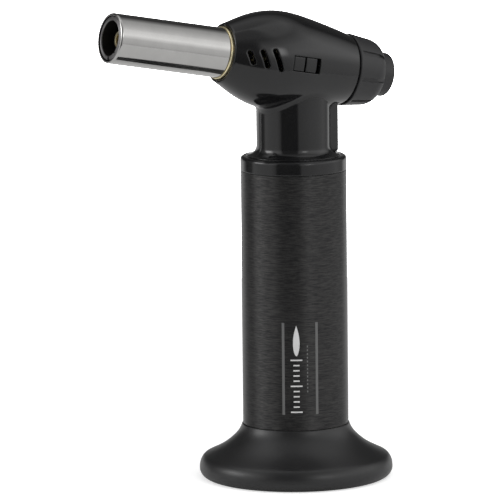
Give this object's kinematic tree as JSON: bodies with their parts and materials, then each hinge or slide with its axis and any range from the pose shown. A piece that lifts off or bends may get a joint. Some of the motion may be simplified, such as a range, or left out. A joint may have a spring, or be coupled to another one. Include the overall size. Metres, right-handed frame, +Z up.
{
  "type": "butane torch",
  "caption": "Refillable hand torch on a round foot, with a brushed tank, thumb trigger, flow knob, lock slider and tilted flame tube.",
  "frame": {"origin": "on the tank's axis, level with the surface that the foot stands on", "axes": "+Z up along the tank, -X towards the side the flame leaves from, -Y the side with the lock slider"},
  "size_m": [0.1246, 0.0758, 0.188],
  "materials": {
    "foot_plastic": "satin black moulded plastic",
    "sleeve_anodised": "black anodised, fine circumferential brushing",
    "housing_gloss": "glossy black moulded plastic",
    "knob_plastic": "matte dark plastic",
    "trigger_plastic": "matte black plastic",
    "tank_metal": "drawn bare metal",
    "polished_steel": "polished stainless steel tube",
    "burner_steel": "grey rolled sheet, slightly heat-stained",
    "spring_steel": "bright drawn wire and pins",
    "brass": "turned brass",
    "seal_rubber": "black nitrile rubber",
    "igniter_plastic": "moulded igniter case",
    "ceramic": "glazed white ceramic",
    "wire_cover": "insulated lead"
  },
  "bodies": {
    "root": {"stand_base": "foot_plastic", "tank_sleeve": "sleeve_anodised", "gas_tank": "tank_metal", "tank_top_cap": "tank_metal", "tank_seal": "seal_rubber", "tank_collar": "housing_gloss", "refill_valve_body": "brass", "refill_valve_seal": "seal_rubber", "refill_valve_spring": "spring_steel", "outlet_valve_body": "brass", "outlet_valve_seal": "seal_rubber", "outlet_valve_spring": "spring_steel", "pickup_tube": "tank_metal", "shell_left": "housing_gloss", "shell_right": "housing_gloss", "housing_screws": "spring_steel", "igniter_body": "igniter_plastic", "trigger_spring": "spring_steel", "lever_pin": "spring_steel", "valve_block": "brass", "gland_nut": "brass", "spindle_seal": "seal_rubber", "gas_tube": "brass", "gas_jet": "brass", "mixing_tube": "brass", "burner_mount": "brass", "flame_tube": "polished_steel", "spider": "burner_steel", "flame_liner": "burner_steel", "burner_tip": "brass", "electrode_insulator": "ceramic", "electrode": "spring_steel", "ignition_wire": "wire_cover"},
    "trigger": {"trigger": "trigger_plastic", "igniter_plunger": "igniter_plastic"},
    "valve_lever": {"valve_lever": "spring_steel"},
    "outlet_valve_stem": {"outlet_valve_stem": "brass"},
    "flow_knob": {"flow_knob": "knob_plastic", "knob_screw": "spring_steel", "knob_cap": "knob_plastic", "needle_spindle": "spring_steel"},
    "lock_slider": {"lock_slider": "housing_gloss"},
    "refill_valve_stem": {"refill_valve_stem": "brass"}
  },
  "joints": [
    {"name": "trigger_slide", "type": "slide", "parent": "root", "child": "trigger", "axis": [-1, 0, 0], "range_m": [0, 0.003], "stiffness_N_per_m": 800, "springref_m": -0.004, "deforming": ["trigger_spring"]},
    {"name": "lever_turn", "type": "hinge", "parent": "root", "child": "valve_lever", "pos_m": [0.0015, 0, 0.133], "axis": [0, -1, 0], "range_deg": [0, 16.4]},
    {"name": "outlet_valve_slide", "type": "slide", "parent": "root", "child": "outlet_valve_stem", "axis": [0, 0, -1], "range_m": [0, 0.00181], "deforming": ["outlet_valve_spring"]},
    {"name": "knob_turn", "type": "hinge", "parent": "root", "child": "flow_knob", "pos_m": [0, 0, 0.1634], "axis": [0.9828, 0, -0.1848], "range_deg": [0, 270]},
    {"name": "lock_slide", "type": "slide", "parent": "root", "child": "lock_slider", "axis": [0.9828, 0, -0.1848], "range_m": [0, 0.0016]},
    {"name": "refill_valve_slide", "type": "slide", "parent": "root", "child": "refill_valve_stem", "axis": [0, 0, 1], "range_m": [0, 0.0015], "stiffness_N_per_m": 500, "springref_m": -0.002, "deforming": ["refill_valve_spring"]}
  ],
  "couplings": [
    {"joint": "lever_turn", "follows": "trigger_slide", "rad_per_m": 95.2},
    {"joint": "outlet_valve_slide", "follows": "trigger_slide", "ratio": 0.6}
  ]
}
